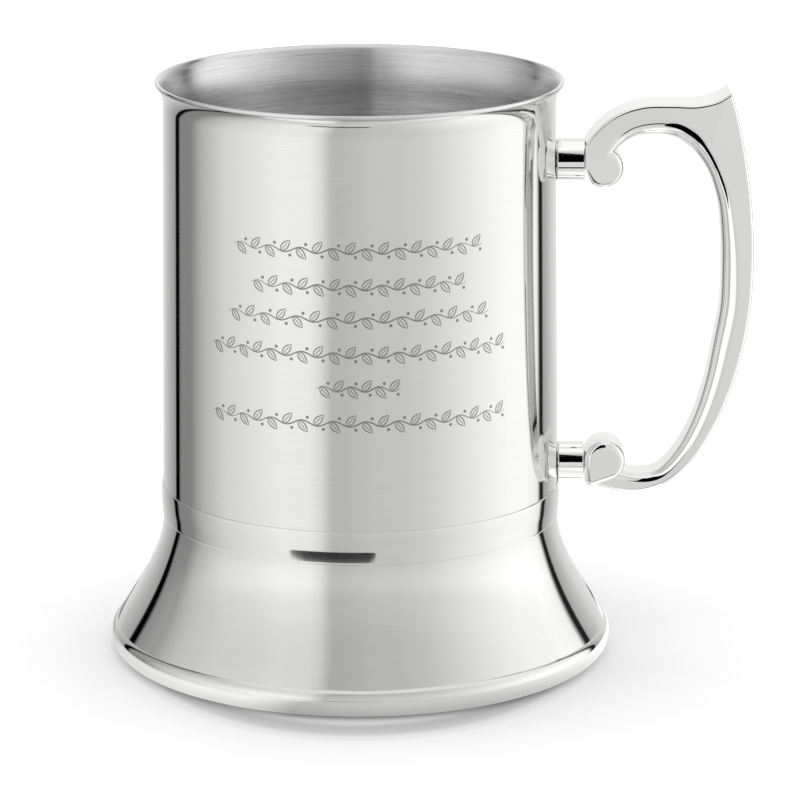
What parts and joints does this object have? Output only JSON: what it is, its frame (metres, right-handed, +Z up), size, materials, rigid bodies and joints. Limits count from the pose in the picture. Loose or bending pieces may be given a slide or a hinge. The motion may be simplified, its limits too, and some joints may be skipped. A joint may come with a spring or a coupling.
{
  "type": "tankard",
  "caption": "Polished metal drinking tankard: straight double-walled cup with a flared lip, collar bead, bell-shaped rolled foot and a cast scroll handle held off the wall by two round spacers.",
  "frame": {"origin": "centre of the flat ring under the rolled foot, on the surface the tankard stands on", "axes": "+Z up along the cup's centre line, +X from the cup towards the handle, +Y away from the viewer of the front"},
  "size_m": [0.1379, 0.1082, 0.125],
  "materials": {
    "polished_steel": "polished",
    "brushed_steel": "brushed",
    "satin_plate": "satin",
    "plated_casting": "polished",
    "plated_spacer": "polished",
    "plain_steel": "satin"
  },
  "bodies": {
    "root": {"body_shell": "polished_steel", "inner_liner": "brushed_steel", "base_skirt": "polished_steel", "base_plate": "satin_plate", "handle": "plated_casting", "upper_ferrule": "plated_spacer", "lower_ferrule": "plated_spacer", "upper_stud": "plain_steel", "lower_stud": "plain_steel"}
  },
  "joints": []
}
